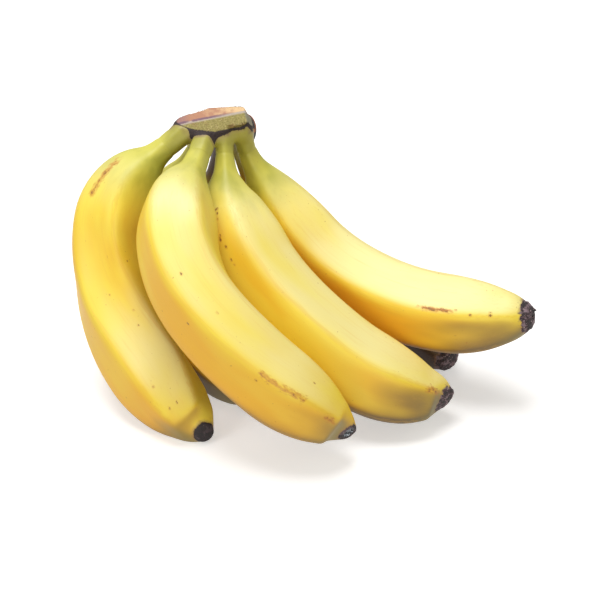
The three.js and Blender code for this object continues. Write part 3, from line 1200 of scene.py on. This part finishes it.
# %% How far each point is from the cuts, the rim and the necks
SPILL, MORE_SPILL = 0.6, 2.9  # the rim reaches this far out over the necks, and more in the middle
plane_depth = -np.max(knife(crown_points), axis=0)
beyond = np.maximum(boat_wall(crown_points, np.clip(plane_depth, 0, DEEPEST)), 0)
top, front, right = knife(crown_points, beyond)
cut_depth = -np.max((top, front, right), axis=0)
along_boat = crown_points[:, 0] - BOAT_MIDDLE[0]
spill = SPILL + MORE_SPILL * step(-12, -7, along_boat) * (1 - step(7, 12, along_boat))
below_rim = np.hypot(
    np.maximum(plane_depth - rim_height(crown_points), 0), np.maximum(beyond - spill, 0)
)
neck_rows = [down_neck(crown_points, node) for node in FINGER_NODES]
neck_along, neck_across, neck_radius, neck_angle = (np.array(rows) for rows in zip(*neck_rows))
owner = (neck_across - neck_radius).argmin(0)
mine = (owner, np.arange(len(owner)))
down = np.maximum(neck_along[mine], 0)
lobe_gap = lobe_distance(crown_points)
on_cut = 1 - step(0.1, 0.6, cut_depth)
on_rim = (1 - on_cut) * (1 - step(0.0, 0.6, below_rim))
print("points on the cut:", int(on_cut.sum()), "and on the rim:", int(on_rim.sum()))

# %% Fine dried relief
RELIEF_ON_CUT, RELIEF_ON_RIM, RELIEF_ON_SKIN, COARSE_RELIEF = 0.08, 0.18, 0.03, 0.12
fine = roughness_of(crown_points, 1.1, 7) + 0.6 * roughness_of(crown_points, 2.6, 8)
coarse = roughness_of(crown_points, 0.35, 9)
relief = fine * (RELIEF_ON_CUT * on_cut + RELIEF_ON_RIM * on_rim + RELIEF_ON_SKIN)
relief = relief + COARSE_RELIEF * coarse * (on_cut + on_rim)
crown_points = crown_points + read_vectors(crown.data, "normal") * relief[:, None]
write_points(crown.data, crown_points * MM)
print("relief reaches", round(float(np.abs(relief).max()), 2), "mm")

# %% What the crown's paint needs to know
# the painted shadow of each neck, carried up onto the crown's sleeve
neck_shadows = np.array([NECK_SHADOW.get(node, 0) for node in FINGER_NODES])
crown_facts = {
    "cut_depth": cut_depth,
    "over_ridge": (top - front) / np.linalg.norm(TOP_NORMAL - FRONT_NORMAL),
    "at_right": right + cut_depth,
    "below_rim": below_rim,
    "to_right": (crown_points[:, 0] - BOAT_MIDDLE[0]) / BOAT_RIGHT,
    "from_crown": down,
    "painted_shadow": neck_shadows[owner],
    "lobe": lobe_gap,
}
for name, values in crown_facts.items():
    float_attribute(crown.data, name, values)
straight = [turned(neck_angle[mine]) * neck_across[mine] for turned in (np.cos, np.sin)]
straight.append(neck_along[mine] + SEED_SPACING * (owner + FIRST_SEED))
vector_attribute(crown.data, "straight", np.stack(straight, -1))
print("the crown's paint reads", ", ".join(crown_facts), "and straight")

# %% Finish the crown's mesh
print("crown:", len(crown.data.polygons), "faces")
bpy.ops.object.select_all(action="DESELECT")
crown.select_set(True)
bpy.ops.object.shade_smooth()
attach(crown, "root")
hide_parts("crown")


# %% [markdown]
# The knife left two broad faces and a small greyish one at the right end. The
# upper face dried to a pinkish tan, and the lower one is still a greenish lens
# with a whitish edge. A thin purple line lies where they meet. Round them runs a
# blackened rim, and below it the green skin of the necks takes over, with the
# same noise as on the fingers, so that the join doesn't show. The small lobe at
# the back is brown above and black below. One material holds all of these,
# because their edges are ragged and follow no edge of the mesh.

# %% Colours of the crown
WEB_TANS = colour(158, 142, 84), colour(128, 104, 70)
LOBE_BROWNS, LOBE_BLACK = (colour(190, 112, 62), colour(146, 86, 52)), colour(22, 15, 14)
RIM_BLACKS = colour(28, 14, 14), colour(66, 44, 40)
LENS_GREENS, LENS_FLECK = (colour(122, 112, 54), colour(160, 148, 84)), colour(196, 180, 122)
LENS_BROWN, LENS_GREY, LENS_WHITE = colour(140, 108, 68), colour(138, 134, 110), colour(198, 184, 184)
STRIP_PINKS = colour(180, 130, 102), colour(224, 190, 144)
STRIP_BROWN, STRIP_MAUVE, PURPLE_LINE = colour(150, 104, 84), colour(150, 112, 112), colour(122, 92, 104)
LOBE_BLACK_BELOW = 111.8
print("pinks of the upper cut:", [[round(part, 2) for part in pink] for pink in STRIP_PINKS])


# %% Skin below the cuts
def webbed_skin(p, place, cloud, fine, rim, lobe):
    from_crown, painted_shadow = p.attributes("from_crown", "painted_shadow")
    lower = p.ramp(from_crown, 4.0, 11.0)
    neck_tone = neck_cloud(p, p.attribute("straight", "Vector")) * lower
    neck_tone = neck_tone + neck_cloud(p, place) * (1.0 - lower)
    neck = neck_skin(p, neck_tone, from_crown, painted_shadow)
    tan = p.mix(p.ramp(cloud, 0.4, 0.62), *WEB_TANS)
    skin = p.mix(p.ramp(2.2 - rim + cloud * 2.0, 0.3, 2.4) * 0.85, neck, tan)
    height = p.node("ShaderNodeSeparateXYZ", {}, {"Vector": place}, "Z")
    # the lobe is black below this height and brown above it
    black_part = p.ramp(LOBE_BLACK_BELOW - height + (cloud - 0.5) * 4.0, -0.8, 0.8)
    stub = p.mix(black_part, p.mix(p.ramp(fine, 0.4, 0.7), *LOBE_BROWNS), LOBE_BLACK)
    skin = p.mix(p.ramp(0.16 - lobe, 0.0, 0.12), skin, stub)
    edge = p.ramp(1.0 - rim + (fine - 0.5) * 0.9 + (cloud - 0.5) * 0.6, 0.0, 0.25)
    return p.mix(edge, skin, p.mix(p.ramp(fine, 0.45, 0.75), *RIM_BLACKS))


# %% The two cut faces
def cut_faces(p, place, cloud, fine):
    over, to_right, at_right = p.attributes("over_ridge", "to_right", "at_right")
    pale_bits = p.ramp(p.speckle(place, 1.1, 4.0, 0.7), 0.52, 0.66)
    lens = p.mix(p.ramp(fine, 0.35, 0.7), *LENS_GREENS)
    lens = p.mix(pale_bits * 0.6, lens, LENS_FLECK)
    lens = p.mix(p.ramp(cloud, 0.5, 0.7) * 0.7, lens, LENS_BROWN)
    lens = p.mix(p.ramp(at_right, -0.9, -0.1), lens, LENS_GREY)
    lens = p.mix(p.ramp(over * -1.0 + fine * 0.9, 2.2, 1.2) * 0.6, lens, LENS_WHITE)
    strip = p.mix(p.ramp(cloud + to_right * 0.35, 0.42, 0.8), *STRIP_PINKS)
    strip = p.mix(p.ramp(fine, 0.5, 0.8) * 0.45, strip, STRIP_BROWN)
    strip = p.mix(p.ramp(to_right, -0.55, -0.9) * 0.7, strip, STRIP_MAUVE)
    cut = p.mix(p.ramp(over, -0.08, 0.08), lens, strip)
    line = p.ramp(over.maths("ABSOLUTE") + (fine - 0.5) * 0.7, 0.9, 0.35)
    faded = p.ramp(to_right, 0.75, -0.1)
    return p.mix(line * faded * p.ramp(cloud, 0.66, 0.5), cut, PURPLE_LINE)


# %% Crown paint
def crown_paint():
    p = Paint(bpy.data.materials.new("cut_stalk"))
    place = p.stretch(p.node("ShaderNodeTexCoord", {}, {}, "Object"), (1000.0, 1000.0, 1000.0))
    depth, rim, lobe = p.attributes("cut_depth", "below_rim", "lobe")
    cloud = p.speckle(place, 0.22, 3.0)
    fine = p.speckle(place, 1.5, 4.0, 0.65)
    skin = webbed_skin(p, place, cloud, fine, rim, lobe)
    skin = p.mix(p.ramp(depth, 0.42, 0.16), skin, cut_faces(p, place, cloud, fine))
    dried = (1.0 - p.ramp(rim, 0.3, 1.5)).at_least(p.ramp(0.12 - lobe, 0.0, 0.14))
    roughness = 0.38 + 0.18 * fine + 0.25 * dried
    height = (fine * 0.7 + p.speckle(place, 3.5, 3.0, 0.6) * 0.3) * (0.3 + 0.7 * dried)
    return p.waxy(skin, roughness, height, 0.5, 0.0005)


STALK = crown_paint()
crown.data.materials.clear()
crown.data.materials.append(STALK)
print("crown paint:", len(STALK.node_tree.nodes), "nodes")
